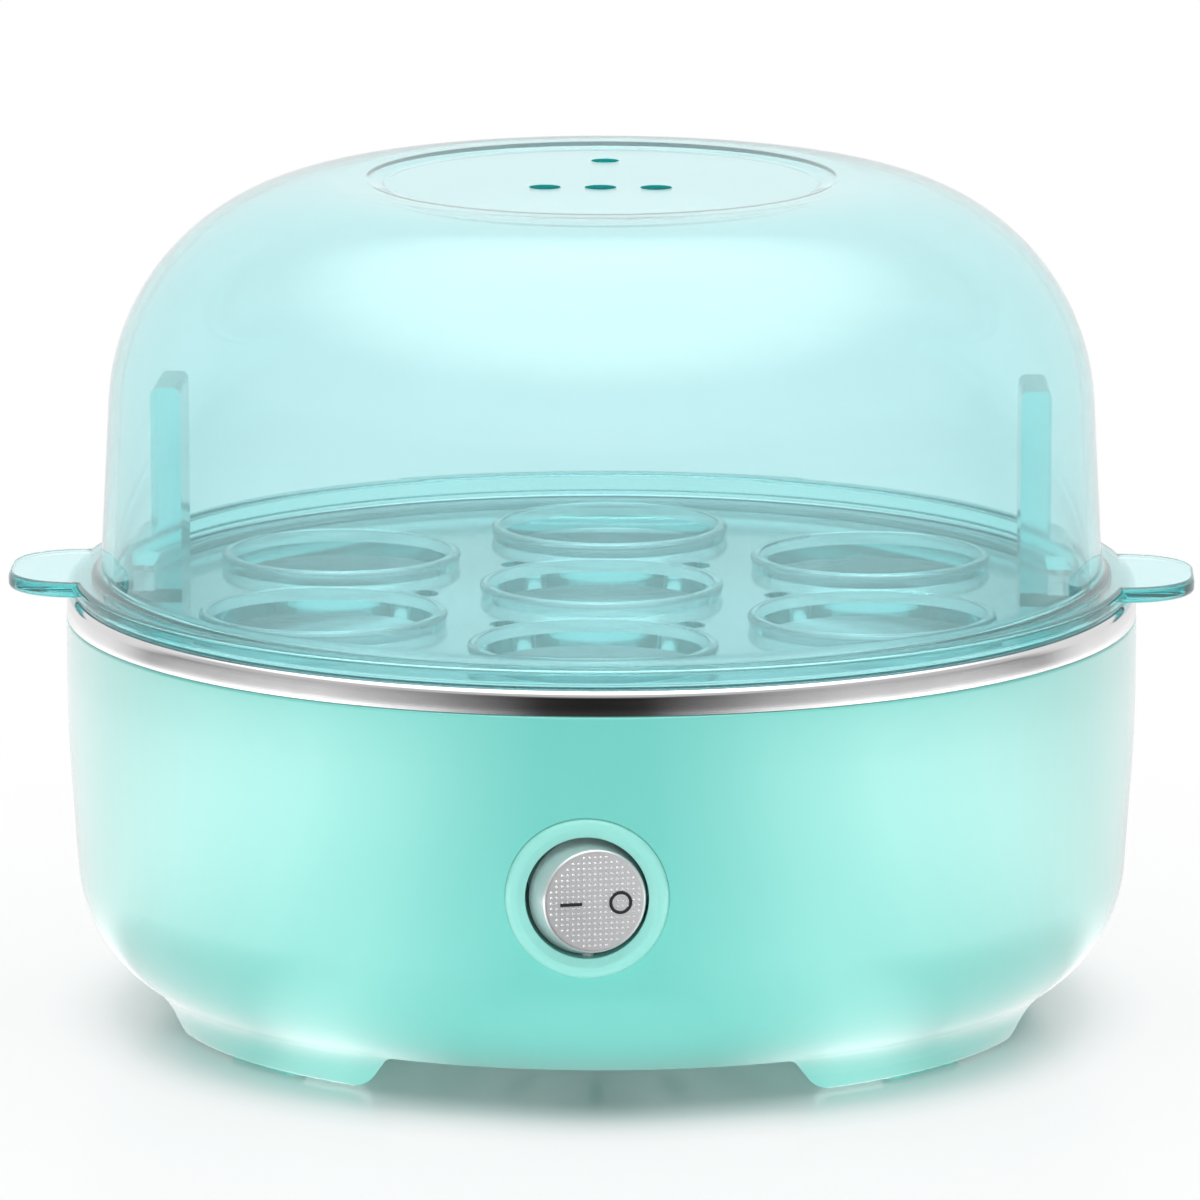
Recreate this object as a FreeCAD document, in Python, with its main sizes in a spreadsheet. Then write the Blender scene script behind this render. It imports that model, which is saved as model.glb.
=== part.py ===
import FreeCAD, Part
import math
import os
from types import SimpleNamespace

import Sketcher

# Egg cooker for seven eggs. +Z is up, the front with the switch faces -Y and the lid's ears point along X.
# The origin is on the table, below the middle of the housing. All sizes are in millimetres.

SIZES = {
    # Housing shell, from the table up
    "pad_stand": 0.6,
    "foot_radius": 67.5,
    "foot_depth": 6.0,
    "floor_height": 6.4,
    "floor_top": 10.2,
    "floor_opening": 50.0,
    "floor_edge": 71.1,
    "waist_radius": 69.0,
    "waist_height": 5.4,
    "waist_round": 7.5,
    "bulge_radius": 80.2,
    "bulge_height": 12.8,
    "bulge_round": 21.5,
    "bulge_inner_round": 14.0,
    "flank_height": 46.0,
    "flank_round": 250.0,
    "base_radius": 82.5,
    "shell_wall": 2.5,
    "shell_top": 62.6,
    "neck_radius": 81.2,
    "neck_top": 64.6,
    # Gaps between the four feet
    "front_gap": 30.4,
    "front_gap_spread": 3.5,
    "side_gap": 19.8,
    "side_gap_spread": 3.5,
    "foot_round": 5.0,
    "gap_round": 1.5,
    # Bottom cover, its screws and the foot pads
    "cover_radius": 60.6,
    "cover_thickness": 2.2,
    "cover_fit": 0.4,
    "boss_ring": 55.5,
    "boss_radius": 3.6,
    "boss_height": 12.0,
    "screw_core": 1.25,
    "screw_head": 2.6,
    "screw_head_height": 1.4,
    "vent_ring": 31.0,
    "vent_length": 11.0,
    "vent_width": 2.2,
    "pad_ring": 64.5,
    "pad_half_width": 1.9,
    "pad_half_length": 6.0,
    "pad_recess": 1.0,
    # Steel water pan with its turned-down rim
    "sheet": 0.8,
    "pan_rim_radius": 82.4,
    "rim_top": 66.5,
    "rim_round": 1.2,
    "skirt_foot": 62.7,
    "recess_radius": 77.0,
    "ledge_height": 62.6,
    "pan_radius": 69.5,
    "pan_floor": 47.4,
    "pan_round": 4.0,
    # Egg tray
    "tray_bottom": 63.0,
    "tray_deck": 65.0,
    "tray_radius": 74.4,
    "tray_rim": 66.2,
    "tray_rim_width": 1.8,
    "egg_ring": 48.0,
    "seat_low_radius": 15.6,
    "seat_high_radius": 17.4,
    "seat_wall": 1.6,
    "seat_low": 59.6,
    "seat_high": 67.2,
    "bar_middle": 66.6,
    "bar_thickness": 4.6,
    "bar_width": 16.0,
    "bar_top": 98.4,
    "bar_shoulder": 75.1,
    "drain_ring": 27.7,
    "drain_radius": 2.6,
    # Lid
    "flange_bottom": 66.8,
    "flange_thickness": 2.4,
    "flange_radius": 81.5,
    "lid_foot_radius": 77.2,
    "lid_top_radius": 74.0,
    "lid_top": 130.2,
    "shoulder_round": 36.2,
    "lid_wall": 1.6,
    "lip_bottom": 64.6,
    "lip_radius": 76.6,
    "crown_radius": 34.7,
    "crown_depth": 0.7,
    "crown_slope": 2.6,
    "crown_round": 2.5,
    "ear_tip": 91.3,
    "ear_half_width": 14.5,
    "ear_round": 10.5,
    "steam_hole": 2.42,
    "steam_pitch": 8.5,
    "steam_forward": 5.7,
    "dimple_radius": 2.15,
    "dimple_back": 21.0,
    # Round rocker switch
    "switch_height": 35.2,
    "switch_seat": 80.7,
    "switch_flange": 12.15,
    "switch_proud": 2.2,
    "switch_bore": 9.15,
    "switch_barrel": 10.0,
    "switch_depth": 15.5,
    "switch_back": 2.0,
    "pivot_sink": 1.6,
    "pivot_pin": 1.0,
    "pivot_reach": 9.75,
    "rocker_face": 7.7,
    "rocker_base": 9.0,
    "rocker_rise": 5.3,
    "rocker_tilt": 14.0,
    "plunger_radius": 1.25,
    "plunger_tip": 7.8,
    "lever_depth": 10.2,
    "lever_tilt": 5.6,
    "lever_half_length": 6.0,
    "lever_half_width": 1.75,
    "lever_thickness": 0.6,
    "lever_rib": 0.6,
    "button_place": 5.0,
    "button_radius": 1.2,
    "button_height": 0.5,
    "terminal_pitch": 6.0,
    "blade_width": 4.8,
    "blade_thickness": 0.8,
    "blade_reach": 8.0,
    "head_half_width": 1.2,
    "head_half_height": 2.9,
    "head_depth": 1.5,
    "sleeve_half_width": 1.6,
    "sleeve_half_height": 3.4,
    "lamp_radius": 1.3,
    "lamp_length": 8.0,
    "lamp_raise": 6.2,
    # Supply gland at the back
    "gland_height": 28.0,
    "gland_seat": 80.9,
    "gland_end": 86.02,
    "gland_flange": 6.5,
    "gland_neck": 4.9,
    "gland_bore": 3.6,
    # Heater below the pan
    "spreader_radius": 50.0,
    "spreader_thickness": 2.0,
    "element_ring": 38.0,
    "element_tube": 3.3,
    "element_flat": 0.4,
    "element_gap_angle": 30.0,
    "element_bend": 7.0,
    "element_drop": 5.0,
    "seal_length": 4.0,
    "pin_length": 7.0,
    "pin_radius": 1.2,
    "stud_radius": 2.5,
    "stud_length": 18.6,
    "strap_top": 34.6,
    "strap_thickness": 1.6,
    "strap_half_length": 76.0,
    "strap_half_width": 7.0,
    "lug_inner": 70.0,
    "lug_outer": 80.2,
    "lug_height": 4.0,
    "thermostat_place": 18.0,
    "thermostat_radius": 8.0,
    "thermostat_height": 9.0,
    "thermostat_cap": 3.0,
    "tab_place": 4.0,
    "tab_half_width": 2.4,
    "tab_foot": 15.0,
    "bracket_half_length": 15.2,
    "bracket_half_width": 10.0,
    "bracket_screw": 12.5,
    "bracket_foot": 2.4,
    "fuse_place": 20.0,
    "fuse_radius": 2.0,
    "fuse_sleeve_radius": 3.0,
    "fuse_half_length": 15.0,
    # Terminal block and wires
    "block_half_width": 15.0,
    "block_front": 53.0,
    "block_back": 65.0,
    "block_height": 12.0,
    "block_pitch": 9.0,
    "wire_radius": 1.1,
    "wire_bend": 4.5,
}

V = FreeCAD.Vector
doc = FreeCAD.newDocument("egg_cooker")
sheet = doc.addObject("Spreadsheet::Sheet", "dim")
for row, (alias, number) in enumerate(SIZES.items(), start=1):
    sheet.set(f"A{row}", alias)
    sheet.set(f"B{row}", str(number))
    sheet.setAlias(f"B{row}", alias)
doc.recompute()


class Size:
    """A length that knows its value and the sheet formula that it comes from."""

    def __init__(self, value, formula):
        self.value = value
        self.formula = formula

    def joined(self, sign, other, value):
        return Size(value, f"({self.formula} {sign} {other.formula})")

    def __add__(self, other):
        other = as_size(other)
        return self.joined("+", other, self.value + other.value)

    def __sub__(self, other):
        other = as_size(other)
        return self.joined("-", other, self.value - other.value)

    def __mul__(self, other):
        other = as_size(other)
        return self.joined("*", other, self.value * other.value)

    def __truediv__(self, other):
        other = as_size(other)
        return self.joined("/", other, self.value / other.value)

    def __rsub__(self, other):
        return as_size(other) - self

    def __neg__(self):
        return self * -1

    __radd__ = __add__
    __rmul__ = __mul__


def as_size(number):
    return number if isinstance(number, Size) else Size(float(number), f"({float(number):.6f})")


dim = SimpleNamespace(**{alias: Size(float(sheet.get(alias)), f"dim.{alias}") for alias in SIZES})
nodes = []


def node(thing, label):
    """Name a finished sub-part and put it on the list of those to export."""
    thing.Label = label
    nodes.append(thing)
    return thing


def bind(thing, prop, length):
    thing.setExpression(prop, as_size(length).formula)


def bind_place(thing, x, y, z):
    for axis, length in zip("xyz", (x, y, z)):
        bind(thing, f"Placement.Base.{axis}", length)


# Sketches and features of a body

def new_body(label):
    return node(doc.addObject("PartDesign::Body", label), label)


def origin_feature(body, role):
    return next(part for part in body.Origin.OriginFeatures if part.Role == role)


def new_sketch(body, role, name, offset=0):
    """A sketch on one of the body's own origin planes, moved along the plane's normal."""
    sketch = body.newObject("Sketcher::SketchObject", name)
    sketch.AttachmentSupport = (origin_feature(body, role), [""])
    sketch.MapMode = "FlatFace"
    bind(sketch, "AttachmentOffset.Base.z", offset)
    return sketch


def fix_point(sketch, element, point, x, y):
    for kind, axis, length in (("DistanceX", -2, as_size(x)), ("DistanceY", -1, as_size(y))):
        if abs(length.value) < 1e-9:
            sketch.addConstraint(Sketcher.Constraint("PointOnObject", element, point, axis))
        else:
            index = sketch.addConstraint(Sketcher.Constraint(kind, -1, 1, element, point, length.value))
            bind(sketch, f"Constraints[{index}]", length)


def fix_radius(sketch, element, radius):
    index = sketch.addConstraint(Sketcher.Constraint("Radius", element, as_size(radius).value))
    bind(sketch, f"Constraints[{index}]", radius)


def circle(sketch, x, y, radius):
    centre = V(as_size(x).value, as_size(y).value, 0)
    element = sketch.addGeometry(Part.Circle(centre, V(0, 0, 1), as_size(radius).value))
    fix_point(sketch, element, 3, x, y)
    fix_radius(sketch, element, radius)


def outline(sketch, corners):
    """A closed outline. A corner (x, y) is sharp and a corner (x, y, radius) is rounded."""
    at = [V(as_size(corner[0]).value, as_size(corner[1]).value, 0) for corner in corners]
    count = len(at)
    back = [(at[i - 1] - at[i]).normalize() for i in range(count)]
    ahead = [(at[(i + 1) % count] - at[i]).normalize() for i in range(count)]
    half = [back[i].getAngle(ahead[i]) / 2 for i in range(count)]
    radius = [as_size(corner[2]).value if len(corner) == 3 else 0 for corner in corners]
    cut = [radius[i] / math.tan(half[i]) for i in range(count)]
    lines = []
    for i in range(count):
        after = (i + 1) % count
        line = Part.LineSegment(at[i] + ahead[i] * cut[i], at[after] + back[after] * cut[after])
        lines.append(sketch.addGeometry(line))
    for i, corner in enumerate(corners):
        before, after = lines[i - 1], lines[i]
        if len(corner) == 2:
            sketch.addConstraint(Sketcher.Constraint("Coincident", before, 2, after, 1))
            fix_point(sketch, after, 1, corner[0], corner[1])
            continue
        inward = (back[i] + ahead[i]).normalize()
        centre = at[i] + inward * (radius[i] / math.sin(half[i]))
        ends = [at[i] + back[i] * cut[i] - centre, at[i] + ahead[i] * cut[i] - centre]
        first, last = 1, 2
        if ends[0].cross(ends[1]).z < 0:
            ends.reverse()
            first, last = 2, 1
        angles = [math.atan2(end.y, end.x) for end in ends]
        arc = sketch.addGeometry(Part.ArcOfCircle(Part.Circle(centre, V(0, 0, 1), radius[i]), *angles))
        apex = sketch.addGeometry(Part.Point(at[i]), True)
        sketch.addConstraint(Sketcher.Constraint("Tangent", before, 2, arc, first))
        sketch.addConstraint(Sketcher.Constraint("Tangent", after, 1, arc, last))
        sketch.addConstraint(Sketcher.Constraint("PointOnObject", apex, 1, before))
        sketch.addConstraint(Sketcher.Constraint("PointOnObject", apex, 1, after))
        fix_point(sketch, apex, 1, corner[0], corner[1])
        fix_radius(sketch, arc, corner[2])


def feature(body, kind, name, sketch):
    """Add a feature that is made from a sketch."""
    made = body.newObject(f"PartDesign::{kind}", name)
    made.Profile = sketch
    return made


def revolve(body, name, corners, kind="Revolution"):
    """Turn an outline of (radius, height) corners about the body's own vertical axis."""
    sketch = new_sketch(body, "XZ_Plane", f"{name}_outline")
    outline(sketch, corners)
    made = feature(body, kind, name, sketch)
    made.ReferenceAxis = (sketch, ["V_Axis"])
    made.Angle = 360
    doc.recompute()
    return made


def pad(body, name, sketch, length, kind="Pad", reverse=False, both=False):
    """Extrude a sketch, as a pad or a pocket. A pocket has to take some volume away."""
    doc.recompute()
    volume = body.Shape.Volume if kind == "Pocket" else 0
    made = feature(body, kind, name, sketch)
    made.Reversed = reverse
    made.SideType = "Symmetric" if both else "One side"
    bind(made, "Length", length)
    doc.recompute()
    if kind == "Pocket" and not body.Shape.Volume < volume:
        raise RuntimeError(f"{body.Label}: {name} cuts nothing")
    return made


def pattern(body, name, originals, count):
    """Repeat features evenly about the body's vertical axis."""
    made = body.newObject("PartDesign::PolarPattern", name)
    made.Originals = originals
    made.Axis = (origin_feature(body, "Z_Axis"), [""])
    made.Angle = 360
    made.Occurrences = count
    body.Tip = made
    doc.recompute()
    return made


# Primitives

TURNS = {
    "X": FreeCAD.Rotation(V(0, 1, 0), 90),
    "Y": FreeCAD.Rotation(V(1, 0, 0), -90),
    "Z": FreeCAD.Rotation(),
}


def cylinder(radius, length, start, axis="Z"):
    """A round bar that starts at a point and runs along an axis."""
    made = doc.addObject("Part::Cylinder", "bar")
    made.Placement = FreeCAD.Placement(V(), TURNS[axis])
    bind(made, "Radius", radius)
    bind(made, "Height", length)
    bind_place(made, *start)
    return made


def box(x, y, z):
    """A block between pairs of limits along X, Y and Z."""
    made = doc.addObject("Part::Box", "block")
    for prop, (low, high) in zip(("Length", "Width", "Height"), (x, y, z)):
        bind(made, prop, as_size(high) - low)
    bind_place(made, x[0], y[0], z[0])
    return made


def fuse(*parts):
    made = doc.addObject("Part::MultiFuse", "joined")
    made.Shapes = list(parts)
    return made


def cut(base, *tools):
    made = doc.addObject("Part::Cut", "cut")
    made.Base = base
    made.Tool = tools[0] if len(tools) == 1 else fuse(*tools)
    return made


def group(label, parts):
    made = doc.addObject("Part::Compound", label)
    made.Links = list(parts)
    return node(made, label)


def ring(outer, inner, bottom, height):
    """A flat ring about the vertical axis."""
    return cut(cylinder(outer, height, (0, 0, bottom)), cylinder(inner, height, (0, 0, bottom)))


def screw(x, y, bearing, length, up):
    """A pan head screw with a slot. Its head bears at a height and its shank points up or down."""
    head_end = bearing - up * dim.screw_head_height
    low, shank_low = (head_end, bearing) if up > 0 else (bearing, bearing - length)
    head = cylinder(dim.screw_head, dim.screw_head_height, (x, y, low))
    shank = cylinder(dim.screw_core, length, (x, y, shank_low))
    slot_depth = dim.screw_head_height / 2
    slot_low = head_end if up > 0 else head_end - slot_depth
    slot = box(
        (as_size(x) - dim.screw_head, as_size(x) + dim.screw_head),
        (as_size(y) - 0.4, as_size(y) + 0.4),
        (slot_low, slot_low + slot_depth),
    )
    return cut(fuse(head, shank), slot)


def on_ring(ring_radius, degrees):
    turn = math.radians(degrees)
    return ring_radius * math.cos(turn), ring_radius * math.sin(turn)


SCREW_ANGLES = (45, 135, 225, 315)
FOOT_ANGLES = (40, 140, 220, 320)
cover_top = dim.floor_height + dim.cover_thickness
pan_under = dim.pan_floor - dim.sheet
spreader_under = pan_under - dim.spreader_thickness


# Housing shell

def foot_gap(body, name, role, half_width, spread):
    """Cut the gap between two feet on both sides of the shell, with S-shaped ends."""
    below = dim.pad_stand - 0.05
    foot = half_width + spread
    past = foot + 2 * dim.foot_round
    right = [
        (half_width, dim.floor_height, dim.gap_round),
        (foot, below, dim.foot_round),
        (past, below),
        (past, below - 1),
    ]
    left = [(-corner[0], *corner[1:]) for corner in reversed(right)]
    sketch = new_sketch(body, role, f"{name}_outline")
    outline(sketch, left + right)
    pad(body, name, sketch, 4 * dim.base_radius, "Pocket", both=True)


def make_base_shell():
    body = new_body("base_shell")
    foot_inner = dim.foot_radius - dim.foot_depth
    rebate = dim.cover_radius + dim.cover_fit
    inner = dim.base_radius - dim.shell_wall
    revolve(body, "shell", [
        (dim.floor_opening, cover_top + 0.1),
        (rebate, cover_top + 0.1),
        (rebate, dim.floor_height),
        (foot_inner, dim.floor_height),
        (foot_inner, dim.pad_stand),
        (dim.foot_radius, dim.pad_stand, 0.6),
        (dim.waist_radius, dim.waist_height, dim.waist_round),
        (dim.bulge_radius, dim.bulge_height, dim.bulge_round),
        (dim.base_radius, dim.flank_height, dim.flank_round),
        (dim.base_radius, dim.shell_top, 0.4),
        (dim.neck_radius, dim.shell_top),
        (dim.neck_radius, dim.neck_top),
        (inner, dim.neck_top),
        (inner, dim.flank_height, dim.flank_round),
        (dim.bulge_radius - dim.shell_wall, dim.bulge_height + 1.5, dim.bulge_inner_round),
        (dim.floor_edge, dim.floor_top),
        (dim.floor_opening, dim.floor_top),
    ])
    foot_gap(body, "front_and_back_gap", "XZ_Plane", dim.front_gap, dim.front_gap_spread)
    foot_gap(body, "side_gap", "YZ_Plane", dim.side_gap, dim.side_gap_spread)

    boss_x, boss_y = on_ring(dim.boss_ring, SCREW_ANGLES[0])
    boss = new_sketch(body, "XY_Plane", "boss_outline", dim.floor_top - 1)
    circle(boss, boss_x, boss_y, dim.boss_radius)
    bosses = pad(body, "boss", boss, dim.boss_height + 1)
    pilot = new_sketch(body, "XY_Plane", "pilot_outline", cover_top)
    circle(pilot, boss_x, boss_y, dim.screw_core + 0.05)
    pilots = pad(body, "pilot", pilot, dim.boss_height, "Pocket", reverse=True)
    pattern(body, "bosses", [bosses, pilots], len(SCREW_ANGLES))

    lugs = new_sketch(body, "XY_Plane", "lug_outline", dim.strap_top)
    for side in (-1, 1):
        outline(lugs, [
            (side * dim.lug_inner, -dim.strap_half_width),
            (side * dim.lug_outer, -dim.strap_half_width),
            (side * dim.lug_outer, dim.strap_half_width),
            (side * dim.lug_inner, dim.strap_half_width),
        ])
    pad(body, "strap_lugs", lugs, dim.lug_height)

    seat = new_sketch(body, "XZ_Plane", "switch_seat_outline", dim.switch_seat)
    circle(seat, 0, dim.switch_height, dim.switch_flange + 0.06)
    pad(body, "switch_seat", seat, 5, "Pocket", reverse=True)
    hole = new_sketch(body, "XZ_Plane", "switch_hole_outline", dim.switch_seat - 6)
    circle(hole, 0, dim.switch_height, dim.switch_barrel + 0.15)
    pad(body, "switch_hole", hole, 10, "Pocket", reverse=True)

    rear_seat = new_sketch(body, "XZ_Plane", "gland_seat_outline", -dim.gland_seat)
    circle(rear_seat, 0, dim.gland_height, dim.gland_flange + 0.2)
    pad(body, "gland_seat", rear_seat, 5, "Pocket")
    rear_hole = new_sketch(body, "XZ_Plane", "gland_hole_outline", 6 - dim.gland_seat)
    circle(rear_hole, 0, dim.gland_height, dim.gland_neck + 0.1)
    pad(body, "gland_hole", rear_hole, 10, "Pocket")

    for index, degrees in enumerate(FOOT_ANGLES):
        recess = new_sketch(body, "XY_Plane", f"pad_recess_outline_{index}", dim.pad_stand)
        pad_outline(recess, degrees, 0.1)
        pad(body, f"pad_recess_{index}", recess, dim.pad_recess + 0.1, "Pocket", reverse=True)


def pad_outline(sketch, degrees, fit):
    """A long rounded pad, set along the foot."""
    turn = math.radians(degrees)
    half_width = dim.pad_half_width + fit
    half_length = dim.pad_half_length + half_width

    def corner(along, outward):
        radius = dim.pad_ring + outward
        x = radius * math.cos(turn) - along * math.sin(turn)
        y = radius * math.sin(turn) + along * math.cos(turn)
        return x, y, half_width * 0.98

    outline(sketch, [
        corner(-half_length, -half_width),
        corner(-half_length, half_width),
        corner(half_length, half_width),
        corner(half_length, -half_width),
    ])


def make_rubber_feet():
    body = new_body("rubber_feet")
    sketch = new_sketch(body, "XY_Plane", "pads_outline")
    for degrees in FOOT_ANGLES:
        pad_outline(sketch, degrees, 0)
    pad(body, "pads", sketch, dim.pad_stand + dim.pad_recess)


def make_bottom_cover():
    body = new_body("bottom_cover")
    disc = new_sketch(body, "XY_Plane", "disc_outline", dim.floor_height)
    circle(disc, 0, 0, dim.cover_radius)
    pad(body, "disc", disc, dim.cover_thickness)

    x, y = on_ring(dim.boss_ring, SCREW_ANGLES[0])
    sink = new_sketch(body, "XY_Plane", "sink_outline", dim.floor_height)
    circle(sink, x, y, dim.screw_head + 0.3)
    sinks = pad(body, "sink", sink, dim.screw_head_height + 0.1, "Pocket", reverse=True)
    through = new_sketch(body, "XY_Plane", "through_outline", dim.floor_height)
    circle(through, x, y, dim.screw_core + 0.25)
    throughs = pad(body, "through", through, 2 * dim.cover_thickness, "Pocket", reverse=True)
    pattern(body, "screw_places", [sinks, throughs], len(SCREW_ANGLES))

    vent = new_sketch(body, "XY_Plane", "vent_outline", dim.floor_height)
    half = dim.vent_width / 2
    outline(vent, [
        (dim.vent_ring - dim.vent_length / 2, -half, half * 0.98),
        (dim.vent_ring + dim.vent_length / 2, -half, half * 0.98),
        (dim.vent_ring + dim.vent_length / 2, half, half * 0.98),
        (dim.vent_ring - dim.vent_length / 2, half, half * 0.98),
    ])
    vents = pad(body, "vent", vent, 2 * dim.cover_thickness, "Pocket", reverse=True)
    pattern(body, "vents", [vents], 16)


def make_cover_screws():
    bearing = dim.floor_height + dim.screw_head_height + 0.1
    length = dim.boss_height
    places = [on_ring(dim.boss_ring, angle) for angle in SCREW_ANGLES]
    group("cover_screws", [screw(x, y, bearing, length, 1) for x, y in places])


def make_heating_plate():
    """The pan, its tray ledge, the recess for the lid and the rim that covers the shell's edge."""
    body = new_body("heating_plate")
    inner_round = dim.rim_round - dim.sheet
    revolve(body, "pan", [
        (0, dim.pan_floor),
        (dim.pan_radius, dim.pan_floor, dim.pan_round),
        (dim.pan_radius, dim.ledge_height, dim.rim_round),
        (dim.recess_radius, dim.ledge_height, inner_round),
        (dim.recess_radius, dim.rim_top, dim.rim_round),
        (dim.pan_rim_radius, dim.rim_top, dim.rim_round),
        (dim.pan_rim_radius, dim.skirt_foot),
        (dim.pan_rim_radius - dim.sheet, dim.skirt_foot),
        (dim.pan_rim_radius - dim.sheet, dim.rim_top - dim.sheet, inner_round),
        (dim.recess_radius + dim.sheet, dim.rim_top - dim.sheet, inner_round),
        (dim.recess_radius + dim.sheet, dim.ledge_height - dim.sheet, dim.rim_round),
        (dim.pan_radius + dim.sheet, dim.ledge_height - dim.sheet, inner_round),
        (dim.pan_radius + dim.sheet, pan_under, dim.pan_round + dim.sheet),
        (0, pan_under),
    ])


def make_plate_seal():
    inner = dim.base_radius - dim.shell_wall
    node(ring(dim.neck_radius, inner, dim.neck_top, dim.rim_top - dim.sheet - dim.neck_top), "plate_seal")


# Egg tray

def make_egg_tray():
    body = new_body("egg_tray")
    rim_inner = dim.tray_radius - dim.tray_rim_width
    revolve(body, "deck", [
        (0, dim.tray_bottom),
        (dim.tray_radius, dim.tray_bottom, 0.5),
        (dim.tray_radius, dim.tray_rim, 0.6),
        (rim_inner, dim.tray_rim, 0.6),
        (rim_inner, dim.tray_deck),
        (0, dim.tray_deck),
    ])
    egg_seat(body, "middle_seat", 0)
    seat = egg_seat(body, "front_seat", -dim.egg_ring)
    pattern(body, "seats", seat, 6)

    drain = new_sketch(body, "XY_Plane", "drain_outline", dim.tray_bottom)
    circle(drain, dim.drain_ring, 0, dim.drain_radius)
    drains = pad(body, "drain", drain, 2 * (dim.tray_deck - dim.tray_bottom), "Pocket", reverse=True)
    pattern(body, "drains", [drains], 6)

    bars = new_sketch(body, "XZ_Plane", "bar_outline")
    windows = new_sketch(body, "XZ_Plane", "window_outline")
    inner = dim.bar_middle - dim.bar_thickness / 2
    outer = dim.bar_middle + dim.bar_thickness / 2
    gusset = dim.tray_radius - 1.2
    for side in (-1, 1):
        outline(bars, [
            (side * inner, dim.tray_deck - 1),
            (side * inner, dim.bar_top, 1.2),
            (side * outer, dim.bar_top, 1.2),
            (side * outer, dim.bar_shoulder),
            (side * gusset, dim.bar_shoulder, 3.8),
            (side * gusset, dim.tray_deck - 1),
        ])
        outline(windows, [
            (side * (outer - 0.4), dim.tray_rim + 0.6),
            (side * (gusset - 1.4), dim.tray_rim + 0.6),
            (side * (gusset - 1.4), dim.tray_rim + 4.6),
            (side * (outer - 0.4), dim.tray_rim + 4.6),
        ])
    pad(body, "bars", bars, dim.bar_width, both=True)
    pad(body, "windows", windows, 2 * dim.bar_width, "Pocket", both=True)


def egg_seat(body, name, centre):
    """A cone-shaped ring that carries one egg, open below, centred on the Y axis."""
    made = []
    outer_low = dim.seat_low_radius + dim.seat_wall
    outer_high = dim.seat_high_radius + dim.seat_wall
    wall = [
        (0, dim.seat_low),
        (outer_low, dim.seat_low),
        (outer_high, dim.seat_high, 0.7),
        (0, dim.seat_high),
    ]
    rise = dim.seat_high - dim.seat_low
    spread = dim.seat_high_radius - dim.seat_low_radius
    hollow = [
        (0, dim.seat_low - rise),
        (dim.seat_low_radius - spread, dim.seat_low - rise),
        (dim.seat_high_radius + spread, dim.seat_high + rise),
        (0, dim.seat_high + rise),
    ]
    for kind, corners in (("Revolution", wall), ("Groove", hollow)):
        sketch = new_sketch(body, "YZ_Plane", f"{name}_{kind.lower()}_outline")
        outline(sketch, [(centre + corner[0], *corner[1:]) for corner in corners])
        low, high = corners[0][1], corners[-1][1]
        axis = sketch.addGeometry(
            Part.LineSegment(V(as_size(centre).value, low.value, 0), V(as_size(centre).value, high.value, 0)),
            True,
        )
        fix_point(sketch, axis, 1, centre, low)
        fix_point(sketch, axis, 2, centre, high)
        turned = feature(body, kind, f"{name}_{kind.lower()}", sketch)
        turned.ReferenceAxis = (sketch, ["Axis0"])
        turned.Angle = 360
        doc.recompute()
        made.append(turned)
    return made


# Lid

def make_lid():
    body = new_body("lid")
    flange_top = dim.flange_bottom + dim.flange_thickness
    inner_foot = dim.lid_foot_radius - dim.lid_wall
    crown = dim.lid_top - dim.crown_depth
    slope_top = dim.crown_radius + dim.crown_slope / 2
    slope_foot = dim.crown_radius - dim.crown_slope / 2
    revolve(body, "dome", [
        (inner_foot, dim.lip_bottom),
        (dim.lip_radius, dim.lip_bottom, 0.3),
        (dim.lip_radius, dim.flange_bottom),
        (dim.flange_radius, dim.flange_bottom, 0.5),
        (dim.flange_radius, flange_top, 0.8),
        (dim.lid_foot_radius, flange_top, 1.5),
        (dim.lid_top_radius, dim.lid_top, dim.shoulder_round),
        (slope_top, dim.lid_top, dim.crown_round),
        (slope_foot, crown, dim.crown_round),
        (0, crown),
        (0, crown - dim.lid_wall),
        (slope_foot, crown - dim.lid_wall, dim.crown_round),
        (slope_top, dim.lid_top - dim.lid_wall, dim.crown_round),
        (dim.lid_top_radius - dim.lid_wall, dim.lid_top - dim.lid_wall, dim.shoulder_round - dim.lid_wall),
    ])
    ears = new_sketch(body, "XY_Plane", "ear_outline", dim.flange_bottom)
    root = dim.flange_radius - 2.5
    for side in (-1, 1):
        outline(ears, [
            (side * root, -dim.ear_half_width),
            (side * dim.ear_tip, -dim.ear_half_width, dim.ear_round),
            (side * dim.ear_tip, dim.ear_half_width, dim.ear_round),
            (side * root, dim.ear_half_width),
        ])
    pad(body, "ears", ears, dim.flange_thickness)

    holes = new_sketch(body, "XY_Plane", "steam_hole_outline", dim.lid_top)
    for step in (-1, 0, 1):
        circle(holes, step * dim.steam_pitch, -dim.steam_forward, dim.steam_hole)
    pad(body, "steam_holes", holes, 5, "Pocket")
    dimple = new_sketch(body, "XY_Plane", "dimple_outline", dim.lid_top)
    circle(dimple, 0, dim.dimple_back, dim.dimple_radius)
    pad(body, "dimple", dimple, dim.crown_depth + 0.5, "Pocket")


# Switch: its own axis points out of the front wall

OUT_OF_FRONT = FreeCAD.Rotation(V(1, 0, 0), 90)
pivot_y = dim.pivot_sink - dim.switch_seat
back_inside = dim.switch_depth - dim.switch_back


def place_in_front(thing, y, degrees=0):
    """Turn a piece so that its axis points forward, then by an angle about the vertical."""
    turn = FreeCAD.Rotation(V(0, 0, 1), degrees).multiply(OUT_OF_FRONT)
    thing.Placement = FreeCAD.Placement(V(), turn)
    bind_place(thing, 0, y, dim.switch_height)


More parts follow.
